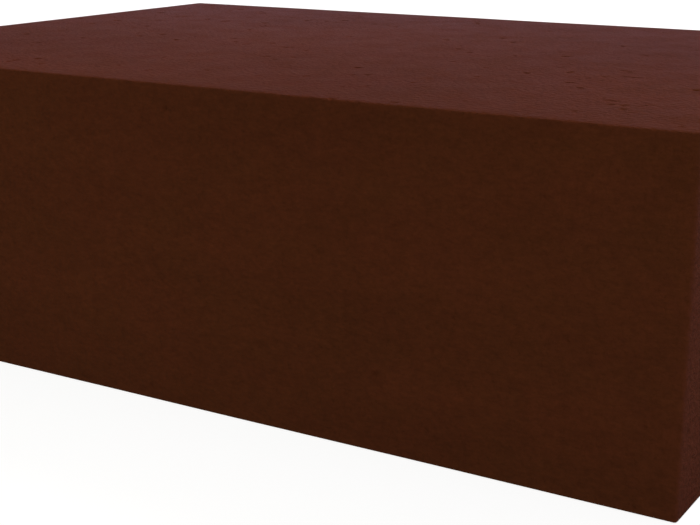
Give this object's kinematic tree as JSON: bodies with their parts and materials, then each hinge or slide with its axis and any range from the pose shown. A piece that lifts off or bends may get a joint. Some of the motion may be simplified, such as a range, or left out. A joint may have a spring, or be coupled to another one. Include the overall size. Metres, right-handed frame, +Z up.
{
  "type": "clay bar",
  "caption": "Rectangular block of dark red-brown plastic clay with finely rounded edges, rubbed over lubricated car paint to lift bonded dirt.",
  "frame": {"origin": "middle of the flat side that the bar lies on", "axes": "+X along the bar's length, +Y across its width away from the long front side, +Z up through its thickness"},
  "size_m": [0.082, 0.0584, 0.025],
  "materials": {
    "clay": "dull, fine-grained, with small pits"
  },
  "bodies": {
    "root": {"clay_bar": "clay"}
  },
  "joints": []
}
